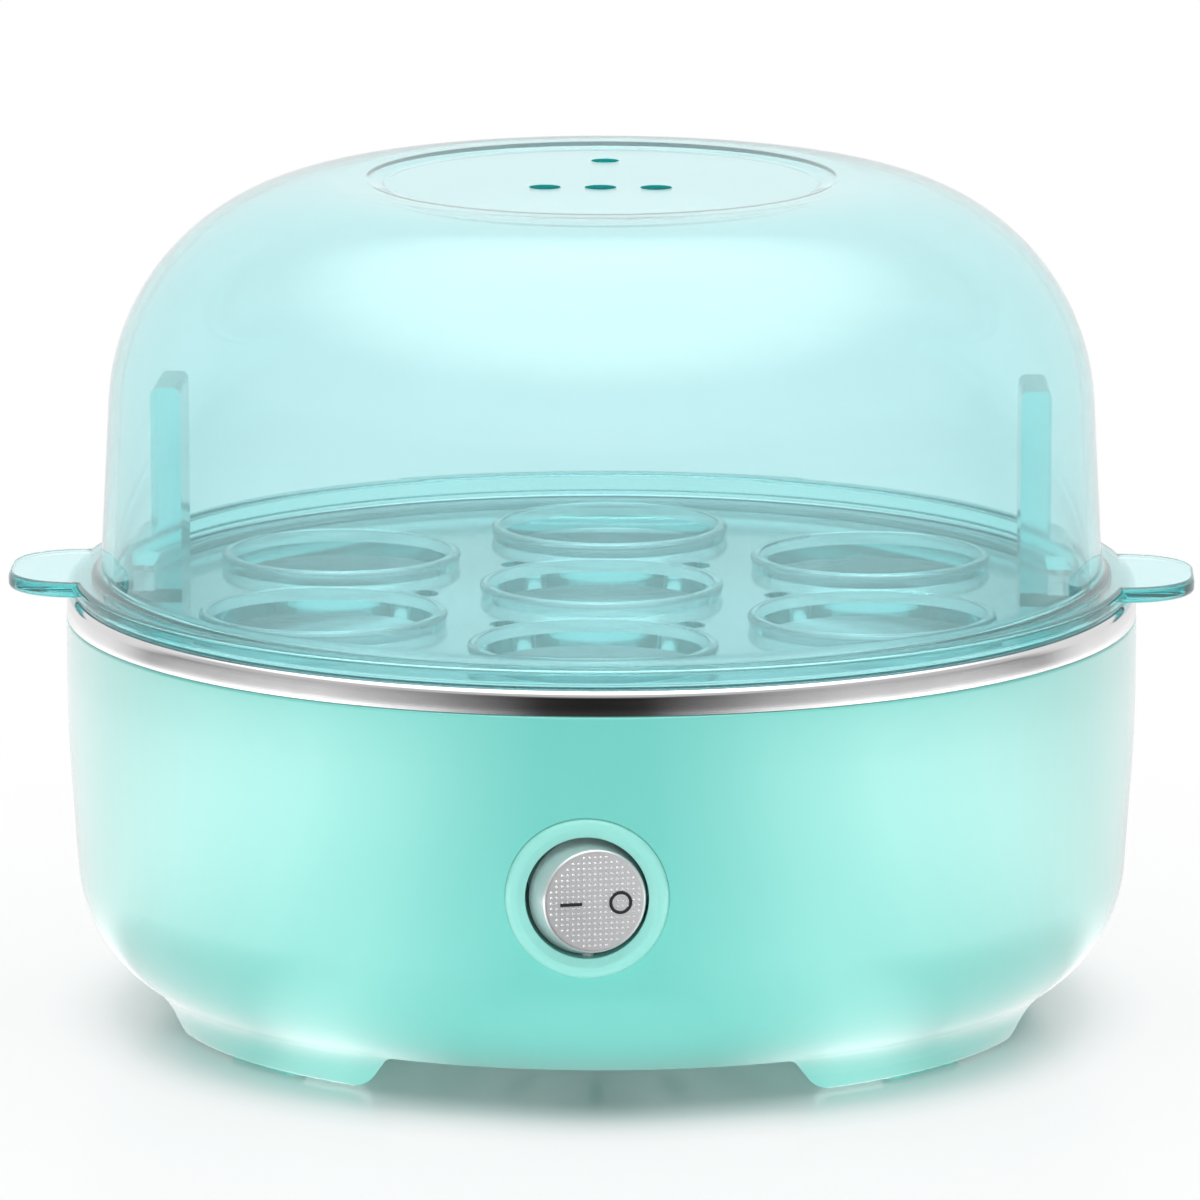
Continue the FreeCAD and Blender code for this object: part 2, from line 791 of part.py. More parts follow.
def make_switch_housing():
    body = new_body("switch_housing")
    funnel = dim.switch_bore + 1.3
    revolve(body, "ring_and_barrel", [
        (dim.switch_flange, 0),
        (dim.switch_flange, dim.switch_proud, 1.2),
        (funnel, dim.switch_proud, 0.6),
        (dim.switch_bore, dim.switch_proud - 0.9, 0.3),
        (dim.switch_bore, -back_inside),
        (0, -back_inside),
        (0, -dim.switch_depth),
        (dim.switch_barrel, -dim.switch_depth),
        (dim.switch_barrel, 0),
    ])
    slots = new_sketch(body, "XY_Plane", "slot_outline", -dim.switch_depth)
    half_x = dim.blade_thickness / 2 + 0.1
    half_y = dim.blade_width / 2 + 0.1
    for step in (-1, 0, 1):
        x = step * dim.terminal_pitch
        outline(slots, [
            (x - half_x, -half_y),
            (x + half_x, -half_y),
            (x + half_x, half_y),
            (x - half_x, half_y),
        ])
    pad(body, "slots", slots, dim.switch_back, "Pocket", reverse=True)
    pivot = new_sketch(body, "XZ_Plane", "pivot_outline")
    circle(pivot, 0, -dim.pivot_sink, dim.pivot_pin + 0.05)
    pad(body, "pivot_holes", pivot, 3 * dim.switch_barrel, "Pocket", both=True)
    place_in_front(body, -dim.switch_seat)


def make_switch_rocker():
    """The rocker about its pivot: a tapered cap, two pivot stubs and a keel with the plunger's bore."""
    body = new_body("switch_rocker")
    revolve(body, "cap", [
        (0, -1.2),
        (dim.rocker_base - 2.2, -1.2),
        (dim.rocker_base, 0.3, 0.3),
        (dim.rocker_face, dim.rocker_rise, 0.5),
        (0, dim.rocker_rise),
    ])
    keel = new_sketch(body, "XY_Plane", "keel_outline", -5)
    circle(keel, 0, 0, 2 * dim.plunger_radius)
    pad(body, "keel", keel, 4.5)
    bore = new_sketch(body, "XY_Plane", "bore_outline", -5)
    circle(bore, 0, 0, dim.plunger_radius + 0.1)
    pad(body, "bore", bore, 8, "Pocket", reverse=True)
    for name, side in (("upper", 1), ("lower", -1)):
        stub = new_sketch(body, "XZ_Plane", f"{name}_stub_outline", side * dim.pivot_reach)
        circle(stub, 0, 0, dim.pivot_pin)
        pad(body, f"{name}_stub", stub, dim.pivot_reach - 5, reverse=side > 0)
    place_in_front(body, pivot_y, dim.rocker_tilt.value)


def make_rocker_plunger():
    plunger = cylinder(dim.plunger_radius, dim.plunger_tip - 2, (0, 0, 0))
    tip = doc.addObject("Part::Fillet", "plunger")
    tip.Base = plunger
    doc.recompute()
    lowest = min(range(len(plunger.Shape.Edges)), key=lambda i: plunger.Shape.Edges[i].CenterOfMass.z)
    tip.Edges = [(lowest + 1, 0.6, 0.6)]
    place_on_rocker(node(tip, "rocker_plunger"), dim.plunger_tip)


def place_on_rocker(thing, depth):
    """Set a piece on the rocker's centre line, its lower end a depth below the pivot."""
    turn = math.radians(dim.rocker_tilt.value)
    place_in_front(thing, pivot_y + depth * math.cos(turn), dim.rocker_tilt.value)
    bind(thing, "Placement.Base.x", -depth * math.sin(turn))


def make_plunger_spring():
    """A small coil that presses the plunger out of the keel."""
    wire, turns, length = 0.2, 5, 4.4
    radius = dim.plunger_radius.value - 0.3
    pitch = length / turns
    path = Part.Wire(Part.makeHelix(pitch, length, radius).Edges)
    section = Part.Circle(V(radius, 0, 0), V(0, 2 * math.pi * radius, pitch), wire)
    coil = doc.addObject("Part::Feature", "plunger_spring")
    coil.Shape = path.makePipeShell([Part.Wire([section.toShape()])], True, True)
    place_on_rocker(node(coil, "plunger_spring"), 1.75)


def make_contact_lever():
    """The seesaw contact that the plunger tips over: a bar on a round rib, with two contact buttons."""
    half = dim.lever_thickness / 2
    bar = box(
        (-dim.lever_half_length, dim.lever_half_length),
        (-half, half),
        (-dim.lever_half_width, dim.lever_half_width),
    )
    rib = cylinder(dim.lever_rib, 2 * dim.lever_half_width, (0, 0, -dim.lever_half_width))
    places = (-dim.button_place, dim.button_place)
    buttons = [cylinder(dim.button_radius, dim.button_height, (x, half - 0.1, 0), "Y") for x in places]
    lever = node(fuse(bar, rib, *buttons), "contact_lever")
    lever.Placement = FreeCAD.Placement(V(), FreeCAD.Rotation(V(0, 0, 1), -dim.lever_tilt.value))
    bind_place(lever, 0, dim.lever_depth - dim.switch_seat, dim.switch_height)


def make_switch_terminals():
    """Three blades with heads inside the switch. The middle head is the cradle of the lever's rib."""
    blades, sleeves = [], []
    inside = back_inside - dim.switch_seat
    outside = dim.switch_depth - dim.switch_seat
    blade_end = outside + dim.blade_reach
    cradle = dim.lever_depth - dim.switch_seat + dim.lever_rib + 0.02
    half = dim.blade_thickness / 2

    def upright(x, half_width, y, half_height):
        z = (dim.switch_height - half_height, dim.switch_height + half_height)
        return box((x - half_width, x + half_width), y, z)

    for step in (-1, 0, 1):
        x = step * dim.terminal_pitch
        head_front = inside - dim.head_depth if step else cradle
        blade = upright(x, half, (inside - 0.5, blade_end), dim.blade_width / 2)
        head = upright(x, dim.head_half_width, (head_front, inside), dim.head_half_height)
        blades.append(fuse(blade, head))
        sleeve_y = (outside + 0.6, blade_end + 2)
        pocket_y = (outside, blade_end + 0.2)
        sleeve = upright(x, dim.sleeve_half_width, sleeve_y, dim.sleeve_half_height)
        pocket = upright(x, half + 0.1, pocket_y, dim.blade_width / 2 + 0.1)
        sleeves.append(cut(sleeve, pocket))
    group("switch_terminals", blades)
    group("spade_sleeves", sleeves)
    lamp_start = (-dim.lamp_length / 2, inside - dim.lamp_radius - 0.02, dim.switch_height + dim.lamp_raise)
    node(cylinder(dim.lamp_radius, dim.lamp_length, lamp_start, "X"), "neon_lamp")


# Supply gland

def make_cord_gland():
    body = new_body("cord_gland")
    collar = dim.gland_end - dim.gland_seat
    revolve(body, "bush", [
        (dim.gland_bore, -5.4),
        (dim.gland_neck + 1.2, -4.6),
        (dim.gland_neck + 1.2, -2.8),
        (dim.gland_neck, -2.8),
        (dim.gland_neck, 0),
        (dim.gland_flange, 0),
        (dim.gland_flange, 2.2, 0.8),
        (dim.gland_neck, 2.2, 0.5),
        (dim.gland_neck - 0.3, collar, 0.5),
        (dim.gland_bore, collar),
    ])
    body.Placement = FreeCAD.Placement(V(), TURNS["Y"])
    bind_place(body, 0, dim.gland_seat, dim.gland_height)


# Heater

def make_heat_spreader():
    disc = cylinder(dim.spreader_radius, dim.spreader_thickness, (0, 0, spreader_under))
    hole_depth = dim.spreader_thickness - 0.4
    holes = [
        cylinder(dim.screw_core + 0.05, hole_depth, (x, dim.thermostat_place, spreader_under))
        for x in (-dim.bracket_screw, dim.bracket_screw)
    ]
    node(cut(disc, *holes), "heat_spreader")


def element_end(side):
    """Where a cold end of the heater leaves the ring, as a point and the ring's direction there."""
    turn = math.radians(90 - side * dim.element_gap_angle.value)
    place = V(math.cos(turn), math.sin(turn), 0) * dim.element_ring.value
    return place, V(-math.sin(turn), math.cos(turn), 0) * side


def element_pin_place(side):
    place, along = element_end(side)
    return place + along * dim.element_bend.value


element_height = spreader_under - dim.element_tube + dim.element_flat
element_foot = element_height - dim.element_bend - dim.element_drop


def make_heating_element():
    """A tube bent to an open ring, flattened on top, whose two ends turn down."""
    height = V(0, 0, element_height.value)
    bend = dim.element_bend.value
    down = V(0, 0, -1)
    edges = []
    for side in (1, -1):
        place, along = element_end(side)
        start = place + height
        diagonal = along * (bend * math.sin(math.pi / 4)) + down * (bend * (1 - math.cos(math.pi / 4)))
        corner_end = start + along * bend + down * bend
        tail = Part.LineSegment(corner_end, corner_end + down * dim.element_drop.value).toShape()
        edges.append([Part.Arc(start, start + diagonal, corner_end).toShape(), tail])
    right, left = element_end(1)[0] + height, element_end(-1)[0] + height
    front = V(0, -dim.element_ring.value, element_height.value)
    ring_edge = Part.Arc(right, front, left).toShape()
    path = Part.Wire(Part.__sortEdges__([*edges[0], ring_edge, *edges[1]]))
    first = path.OrderedEdges[0]
    begin = first.valueAt(first.FirstParameter)
    end = first.valueAt(first.LastParameter)
    tube = Part.Circle(begin, (end - begin).normalize(), dim.element_tube.value)
    solid = path.makePipeShell([Part.Wire([tube.toShape()])], True, False)
    reach = 2 * dim.element_ring.value
    above = Part.makeBox(2 * reach, 2 * reach, reach, V(-reach, -reach, spreader_under.value))
    element = doc.addObject("Part::Feature", "heating_element")
    element.Shape = solid.cut(above)
    node(element, "heating_element")


def make_element_ends():
    seals, pins = [], []
    for side in (1, -1):
        spot = element_pin_place(side)
        seals.append(cylinder(2.6, dim.seal_length, (spot.x, spot.y, element_foot - dim.seal_length)))
        pin_top = element_foot - dim.seal_length
        pins.append(cylinder(dim.pin_radius, dim.pin_length, (spot.x, spot.y, pin_top - dim.pin_length)))
    group("element_seals", seals)
    group("element_pins", pins)


def make_plate_fixing():
    """A stud on the pan, and a strap under two lugs of the shell that its nut pulls on."""
    strap_low = dim.strap_top - dim.strap_thickness
    stud = cylinder(dim.stud_radius, dim.stud_length, (0, 0, spreader_under - dim.stud_length))
    node(stud, "plate_stud")
    strap = box((-dim.strap_half_length, dim.strap_half_length),
                (-dim.strap_half_width, dim.strap_half_width), (strap_low, dim.strap_top))
    clear = dim.stud_radius + 0.2
    node(cut(strap, cylinder(clear, dim.strap_thickness, (0, 0, strap_low))), "plate_strap")
    node(ring(6, clear, strap_low - 1, 1), "stud_washer")
    tag_low = strap_low - 1.8
    tag = fuse(cylinder(5, 0.8, (0, 0, tag_low)), box((-2.5, 2.5), (3, 12), (tag_low, tag_low + 0.8)))
    node(cut(tag, cylinder(clear, 0.8, (0, 0, tag_low))), "earth_tag")
    nut = doc.addObject("Part::Prism", "hexagon")
    nut.Polygon = 6
    bind(nut, "Circumradius", 2 * dim.stud_radius - 0.4)
    bind(nut, "Height", 4)
    bind_place(nut, 0, 0, tag_low - 4)
    node(cut(nut, cylinder(dim.stud_radius + 0.05, 4, (0, 0, tag_low - 4))), "stud_nut")


def make_thermostat():
    y = dim.thermostat_place
    case_low = spreader_under - dim.thermostat_height
    cap_low = spreader_under - dim.thermostat_cap
    cap = cylinder(dim.thermostat_radius + 0.6, dim.thermostat_cap, (0, y, cap_low))
    case = cylinder(dim.thermostat_radius, dim.thermostat_height - 2.5, (0, y, case_low))
    half = dim.blade_thickness / 2
    tab_y = (y - dim.tab_half_width, y + dim.tab_half_width)
    tab_z = (spreader_under - dim.tab_foot, case_low + 0.5)
    tabs = [box((x - half, x + half), tab_y, tab_z) for x in (-dim.tab_place, dim.tab_place)]
    node(fuse(cap, case, *tabs), "thermostat")

    screw_x = (-dim.bracket_screw, dim.bracket_screw)
    plate_low = cap_low - dim.sheet
    plate = box(
        (-dim.bracket_half_length, dim.bracket_half_length),
        (y - dim.bracket_half_width, y + dim.bracket_half_width),
        (plate_low, plate_low + dim.sheet),
    )
    foot_low = plate_low + dim.sheet / 2
    feet = [cylinder(dim.bracket_foot, spreader_under - foot_low, (x, y, foot_low)) for x in screw_x]
    clear = [cylinder(dim.screw_core + 0.15, 5, (x, y, plate_low - 0.5)) for x in screw_x]
    body_hole = cylinder(dim.thermostat_radius + 0.1, dim.sheet, (0, y, plate_low))
    node(cut(fuse(plate, *feet), body_hole, *clear), "thermostat_bracket")
    group("thermostat_screws", [screw(x, y, plate_low, 5.2, 1) for x in screw_x])


def make_thermal_fuse():
    y = -dim.fuse_place
    z = spreader_under - dim.fuse_sleeve_radius - 0.5
    half = dim.fuse_half_length
    body = cylinder(dim.fuse_radius, 12, (-6, y, z), "X")
    leads = cylinder(0.5, 2 * half, (-half, y, z), "X")
    node(fuse(body, leads), "thermal_fuse")
    sleeve = cylinder(dim.fuse_sleeve_radius, 2 * half - 2, (1 - half, y, z), "X")
    node(cut(sleeve, cylinder(dim.fuse_radius + 0.05, 2 * half, (-half, y, z), "X")), "fuse_sleeve")
    clip = box((-4, 4), (y - 4.2, y + 4.2), (z - 4, spreader_under))
    node(cut(clip, cylinder(dim.fuse_sleeve_radius + 0.05, 10, (-5, y, z), "X")), "fuse_clip")


# Terminal block and wires

def make_terminal_block():
    low = dim.floor_top
    high = low + dim.block_height
    block = box((-dim.block_half_width, dim.block_half_width), (dim.block_front, dim.block_back), (low, high))
    wells, screws = [], []
    middle = (dim.block_front + dim.block_back) / 2
    bearing = high - dim.screw_head_height - 1
    for step in (-1, 0, 1):
        x = step * dim.block_pitch
        wells.append(cylinder(dim.screw_head + 0.2, high - bearing, (x, middle, bearing)))
        wells.append(cylinder(dim.screw_core + 0.1, 5.5, (x, middle, high - 7)))
        screws.append(screw(x, middle, bearing, 4, -1))
    node(cut(block, *wells), "terminal_block")
    group("terminal_screws", screws)


def make_wire(label, points):
    """A round wire along straight runs that meet in tangent bends."""
    radius = dim.wire_radius.value
    points = [V(*[as_size(value).value for value in point]) for point in points]
    edges = []
    start = points[0]
    for before, corner, after in zip(points, points[1:], points[2:]):
        back = (before - corner).normalize()
        ahead = (after - corner).normalize()
        half = back.getAngle(ahead) / 2
        bend = dim.wire_bend.value
        reach = bend / math.tan(half)
        inward = (back + ahead).normalize()
        middle = corner + inward * (bend / math.sin(half) - bend)
        edges.append(Part.LineSegment(start, corner + back * reach).toShape())
        edges.append(Part.Arc(corner + back * reach, middle, corner + ahead * reach).toShape())
        start = corner + ahead * reach
    edges.append(Part.LineSegment(start, points[-1]).toShape())
    path = Part.Wire(edges)
    section = Part.Circle(points[0], (points[1] - points[0]).normalize(), radius)
    wire = doc.addObject("Part::Feature", label)
    wire.Shape = path.makePipeShell([Part.Wire([section.toShape()])], True, False)
    expected = math.pi * radius ** 2 * path.Length
    if abs(wire.Shape.Volume - expected) > 0.01 * expected:
        raise RuntimeError(f"{label}: volume {wire.Shape.Volume:.1f}, expected {expected:.1f}")
    node(wire, label)


def make_wires():
    """Routes through the free room between the floor and the heater."""
    sleeve_y = dim.switch_depth - dim.switch_seat + dim.blade_reach + 2
    switch_z = dim.switch_height
    pitch = dim.terminal_pitch
    block_z = dim.floor_top + 5
    block_y = dim.block_front
    right, left = element_pin_place(1), element_pin_place(-1)
    pin_z = element_foot - dim.seal_length - dim.pin_length
    tab_z = spreader_under - dim.tab_foot
    tab_x, tab_y = dim.tab_place, dim.thermostat_place
    fuse_z = spreader_under - dim.fuse_sleeve_radius - 0.5
    fuse_x = dim.fuse_half_length
    make_wire("live_wire", [
        (-pitch, sleeve_y, switch_z), (-pitch, -42, switch_z), (-30, -32, 16), (-32, 12, 14),
        (-30, 26, 15), (-dim.block_pitch, 44, block_z), (-dim.block_pitch, block_y, block_z)])
    make_wire("switched_wire", [
        (0, sleeve_y, switch_z), (0, -42, switch_z), (-12, -24, 22), (-12, 8, 19), (-tab_x, tab_y, 19),
        (-tab_x, tab_y, tab_z)])
    make_wire("element_wire", [
        (right.x, right.y, pin_z), (right.x, right.y, 12.5), (tab_x, tab_y, 12.5), (tab_x, tab_y, tab_z)])
    make_wire("fuse_wire", [
        (left.x, left.y, pin_z), (left.x, left.y, 12.8), (-22, 6, 14), (-22.5, -dim.fuse_place, 24),
        (-22.5, -dim.fuse_place, fuse_z), (-fuse_x, -dim.fuse_place, fuse_z)])
    make_wire("neutral_wire", [
        (fuse_x, -dim.fuse_place, fuse_z), (22.5, -dim.fuse_place, fuse_z), (22.5, -dim.fuse_place, 24),
        (30, 24, 16), (dim.block_pitch + 1.6, 44, block_z), (dim.block_pitch + 1.6, block_y, block_z)])
    make_wire("lamp_wire", [
        (pitch, sleeve_y, switch_z), (pitch, -42, switch_z), (34, -32, 16), (40, 10, 13), (36, 30, 13),
        (dim.block_pitch + 4.4, 47, block_z - 1), (dim.block_pitch + 4.4, block_y, block_z - 1)])
    tag_z = dim.strap_top - dim.strap_thickness - 1.4
    make_wire("earth_wire", [
        (0, 12, tag_z), (0, 17, tag_z), (0, 42, block_z), (0, block_y, block_z)])


make_base_shell()
make_rubber_feet()
make_bottom_cover()
make_cover_screws()
make_heating_plate()
make_plate_seal()
make_egg_tray()
make_lid()
make_switch_housing()
make_switch_rocker()
make_rocker_plunger()
make_plunger_spring()
make_contact_lever()
make_switch_terminals()
make_cord_gland()
make_heat_spreader()
make_heating_element()
make_element_ends()
make_plate_fixing()
make_thermostat()
make_thermal_fuse()
make_terminal_block()
make_wires()
doc.recompute()

for thing in doc.Objects:
    if "Invalid" in thing.State or "Error" in thing.State:
        raise RuntimeError(f"{thing.Label} is not built: {thing.State}")
for thing in nodes:
    if thing.Shape.isNull() or not thing.Shape.isValid() or not thing.Shape.Solids:
        raise RuntimeError(f"{thing.Label} has no valid solid")

os.makedirs("parts", exist_ok=True)
for thing in nodes:
    thing.Shape.exportStep(f"parts/{thing.Label}.step")
    print(f"{thing.Label}: {len(thing.Shape.Solids)} solid, {thing.Shape.Volume:.0f} mm3")
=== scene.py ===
import math

import bpy
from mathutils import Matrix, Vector


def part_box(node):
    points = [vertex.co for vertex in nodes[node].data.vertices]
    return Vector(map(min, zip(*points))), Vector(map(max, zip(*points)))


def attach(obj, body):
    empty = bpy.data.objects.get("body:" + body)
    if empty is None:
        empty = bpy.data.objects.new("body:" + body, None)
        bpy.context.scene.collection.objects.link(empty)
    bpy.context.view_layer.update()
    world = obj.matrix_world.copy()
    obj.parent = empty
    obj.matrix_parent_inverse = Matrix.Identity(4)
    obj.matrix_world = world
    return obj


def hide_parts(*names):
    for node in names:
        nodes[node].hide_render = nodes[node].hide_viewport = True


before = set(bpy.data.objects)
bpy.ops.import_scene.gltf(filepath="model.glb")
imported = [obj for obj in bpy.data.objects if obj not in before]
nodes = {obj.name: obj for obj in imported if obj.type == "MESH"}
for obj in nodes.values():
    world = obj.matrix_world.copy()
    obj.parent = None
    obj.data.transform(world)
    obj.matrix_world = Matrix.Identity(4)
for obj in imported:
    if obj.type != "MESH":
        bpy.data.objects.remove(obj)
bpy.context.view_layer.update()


# The housing is one glossy mint moulding on four short feet, closed below by a screwed cover.
# Its skin has a polished face with the faint ripple of the tool. The switch ring is the same plastic.
class Wire:
    """A socket in a node tree. Arithmetic on it adds Math nodes."""

    def __init__(self, tree, socket=None):
        self.tree = tree
        self.socket = socket

    def node(self, kind, settings, sockets, out=0):
        """Adds a node: its settings first, then the values or links of its sockets."""
        made = self.tree.nodes.new("ShaderNode" + kind)
        for name, value in settings.items():
            if name == "stops":
                ramp = made.color_ramp.elements
                while len(ramp) < len(value):
                    ramp.new(1.0)
                for element, (place, level) in zip(ramp, value):
                    element.position = place
                    element.color = (level, level, level, 1.0)
            else:
                setattr(made, name, value)
        for name, value in sockets.items():
            if isinstance(value, Wire):
                self.tree.links.new(value.socket, made.inputs[name])
            else:
                made.inputs[name].default_value = value
        return Wire(self.tree, made.outputs[out])

    def also(self, out):
        """Another output of the same node."""
        return Wire(self.tree, self.socket.node.outputs[out])

    def maths(self, operation, *values):
        return self.node("Math", {"operation": operation}, dict(enumerate(values)))

    def __add__(self, other):
        return self.maths("ADD", self, other)

    def __radd__(self, other):
        return self.maths("ADD", other, self)

    def __sub__(self, other):
        return self.maths("SUBTRACT", self, other)

    def __rsub__(self, other):
        return self.maths("SUBTRACT", other, self)

    def __mul__(self, other):
        return self.maths("MULTIPLY", self, other)

    def __rmul__(self, other):
        return self.maths("MULTIPLY", other, self)

    def __truediv__(self, other):
        return self.maths("DIVIDE", self, other)

    def root(self):
        return self.maths("SQRT", self)

    def at_least(self, other):
        return self.maths("MAXIMUM", self, other)

    def at_most(self, other):
        return self.maths("MINIMUM", self, other)

    def between(self, low, high):
        """0 below low, 1 above high, smooth in between."""
        settings = {"interpolation_type": "SMOOTHSTEP"}
        return self.node("MapRange", settings, {"Value": self, "From Min": low, "From Max": high})

    def blend(self, first, second):
        """The first colour where this is 0, the second where it is 1."""
        return self.node("Mix", {"data_type": "RGBA"}, {0: self, 6: first, 7: second}, out=2)


def new_finish(name):
    """An empty material; returns it, a wire in it and its Object coordinates."""
    finish = bpy.data.materials.new(name)
    finish.use_nodes = True
    finish.node_tree.nodes.clear()
    wire = Wire(finish.node_tree)
    return finish, wire, wire.node("TexCoord", {}, {}, out="Object")


def close_finish(finish, surface, volume=None):
    """Joins the shader, and for clear plastic its tint, to the material's output."""
    out = finish.node_tree.nodes.new("ShaderNodeOutputMaterial")
    finish.node_tree.links.new(surface.socket, out.inputs["Surface"])
    if volume:
        finish.node_tree.links.new(volume.socket, out.inputs["Volume"])
    return finish


def noise(place, scale, detail=3.0):
    return place.node("TexNoise", {}, {"Vector": place, "Scale": scale, "Detail": detail})


def bump(height, depth):
    """Raises a height in parts of one to a depth in metres."""
    return height.node("Bump", {}, {"Height": height, "Distance": depth})


def moulded(name, colour, roughness, ripple=0.00001, grain=700.0, mottle=0.06, **sockets):
    """Moulded plastic or rubber: a little mottled, with a fine tool grain."""
    finish, wire, place = new_finish(name)
    cloud = noise(place, 45.0)
    fine = noise(place, grain, 2.0)
    deep = tuple(channel * (1.0 - mottle) for channel in colour)
    values = {
        "Base Color": cloud.blend((*deep, 1.0), (*colour, 1.0)),
        "Roughness": roughness + mottle * (fine - 0.5),
        "Normal": bump(fine, ripple),
    }
    values.update(sockets)
    return close_finish(finish, wire.node("BsdfPrincipled", {}, values))


def dress(finish, *names):
    """Gives the finish to every slot of the named solids."""
    for name in names:
        for slot in nodes[name].material_slots:
            slot.material = finish


polish = {"Coat Weight": 1.0, "Coat Roughness": 0.1}
mint = moulded("mint_plastic", (0.19, 0.66, 0.59), 0.28, 0.000001, 300.0, 0.015, **polish)
dress(mint, "base_shell", "bottom_cover")
pale_mint = moulded("pale_mint_plastic", (0.32, 0.76, 0.69), 0.3, 0.000001, 300.0, 0.015)
dress(pale_mint, "switch_housing")

# Rubber pieces: four pads pressed into the feet, and the gland at the back, in the housing's mint.
# The sleeves of the switch's push-on connectors, inside the housing, are dark.
dark_rubber = moulded("dark_rubber", (0.035, 0.036, 0.038), 0.62, 0.00003, 900.0)
dress(dark_rubber, "spade_sleeves")
mint_rubber = moulded("mint_rubber", (0.17, 0.58, 0.52), 0.5, 0.00002, 900.0)
dress(mint_rubber, "cord_gland", "rubber_feet")


# The pan is drawn from thin steel and polished on a lathe; its turned-down rim is the bright band.
# It is turned here from its outline, in steps fine enough for a mirror. The polishing lines run round it.
def lathe_turned(name, dark, bright, roughness, depth=0.000003, pitch=2600.0):
    """Turned or drawn metal with fine lines round the vertical axis."""
    finish, wire, place = new_finish(name)
    x = wire.node("SeparateXYZ", {}, {"Vector": place})
    y, z = x.also("Y"), x.also("Z")
    reach = (x * x + y * y).root()
    lines = noise(wire.node("CombineXYZ", {}, {"X": reach, "Y": z}), pitch, 2.0)
    smear = noise(place, 60.0)
    values = {
        "Base Color": smear.blend((*dark, 1.0), (*bright, 1.0)),
        "Metallic": 1.0,
        "Roughness": roughness + 0.07 * (lines - 0.5) + 0.04 * (smear - 0.5),
        "Normal": bump(lines, depth),
    }
    return close_finish(finish, wire.node("BsdfPrincipled", {}, values))


arc_step = 0.0014


def rounded(corners, steps=7):
    """The points of an outline in which each corner, (reach, height, round), is an arc."""
    points = []
    for before, corner, after in zip(corners[-1:] + corners[:-1], corners, corners[1:] + corners[:1]):
        spot, radius = Vector(corner[:2]), corner[2]
        if not radius:
            points.append(spot)
            continue
        back = (Vector(before[:2]) - spot).normalized()
        onward = (Vector(after[:2]) - spot).normalized()
        half = back.angle(onward) / 2
        middle = spot + (back + onward).normalized() * radius / math.sin(half)
        first = spot + back * radius / math.tan(half) - middle
        last = spot + onward * radius / math.tan(half) - middle
        count = max(steps, int(radius * (math.pi - 2 * half) / arc_step))
        points += [middle + radius * first.slerp(last, step / count) for step in range(count + 1)]
    return points


def turned(name, points, steps=288):
    """Turns an outline that starts and ends on the vertical axis into a closed piece."""
    bpy.ops.object.select_all(action="DESELECT")
    bpy.ops.mesh.primitive_plane_add(size=0.001, location=(points[0].x, 0.0, points[0].y))
    piece = bpy.context.object
    piece.name = name
    bpy.ops.object.transform_apply(location=True)
    bpy.ops.object.mode_set(mode="EDIT")
    bpy.ops.mesh.select_mode(type="VERT")
    bpy.ops.mesh.select_all(action="SELECT")
    bpy.ops.mesh.merge(type="CENTER")
    for here, there in zip(points, points[1:]):
        way = (there.x - here.x, 0.0, there.y - here.y)
        bpy.ops.mesh.extrude_region_move(TRANSFORM_OT_translate={"value": way})
    bpy.ops.mesh.select_all(action="SELECT")
    bpy.ops.mesh.spin(steps=steps, angle=math.tau, center=(0.0, 0.0, 0.0), axis=(0.0, 0.0, 1.0))
    bpy.ops.mesh.select_all(action="SELECT")
    bpy.ops.mesh.remove_doubles(threshold=0.000002)
    bpy.ops.mesh.normals_make_consistent(inside=False)
    bpy.ops.object.mode_set(mode="OBJECT")
    bpy.ops.object.shade_smooth_by_angle(angle=math.radians(40.0))
    return piece


sheet = 0.0008
pan_round = 0.004
rim_round = 0.0012
inner_round = rim_round - sheet
rim_width = 0.0054
skirt_height = 0.0038
ledge_drop = 0.0039
ledge_width = 0.0075
pan_low, pan_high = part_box("heating_plate")
pan_under, rim_top, rim_reach = pan_low[2], pan_high[2], pan_high[0]
recess = rim_reach - rim_width
pan_reach = recess - ledge_width
ledge = rim_top - ledge_drop
skirt_foot = rim_top - skirt_height
pan = turned("pan", rounded([
    (0.0, pan_under + sheet, 0.0),
    (pan_reach, pan_under + sheet, pan_round),
    (pan_reach, ledge, rim_round),
    (recess, ledge, inner_round),
    (recess, rim_top, rim_round),
    (rim_reach, rim_top, rim_round),
    (rim_reach, skirt_foot, 0.0),
    (rim_reach - sheet, skirt_foot, 0.0),
    (rim_reach - sheet, rim_top - sheet, inner_round),
    (recess + sheet, rim_top - sheet, inner_round),
    (recess + sheet, ledge - sheet, rim_round),
    (pan_reach + sheet, ledge - sheet, inner_round),
    (pan_reach + sheet, pan_under, pan_round + sheet),
    (0.0, pan_under, 0.0),
]))
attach(pan, "base")
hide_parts("heating_plate")
polished_steel = lathe_turned("polished_steel", (0.66, 0.65, 0.66), (0.74, 0.73, 0.74), 0.14)
pan.data.materials.append(polished_steel)
zinc = lathe_turned("zinc_steel", (0.5, 0.5, 0.49), (0.6, 0.6, 0.58), 0.32)
dress(zinc, "cover_screws", "plate_strap", "stud_washer", "stud_nut", "plate_stud", "earth_tag")
dress(zinc, "thermostat_bracket", "thermostat_screws", "terminal_screws", "fuse_clip", "plunger_spring")
dress(lathe_turned("aluminium", (0.7, 0.7, 0.71), (0.78, 0.78, 0.79), 0.3), "heat_spreader")
dress(lathe_turned("element_tube", (0.3, 0.28, 0.26), (0.42, 0.4, 0.38), 0.4), "heating_element")
brass = lathe_turned("brass", (0.62, 0.45, 0.18), (0.74, 0.56, 0.26), 0.28)
dress(brass, "switch_terminals", "contact_lever")
dress(lathe_turned("pin_steel", (0.5, 0.5, 0.5), (0.6, 0.6, 0.6), 0.3), "element_pins")

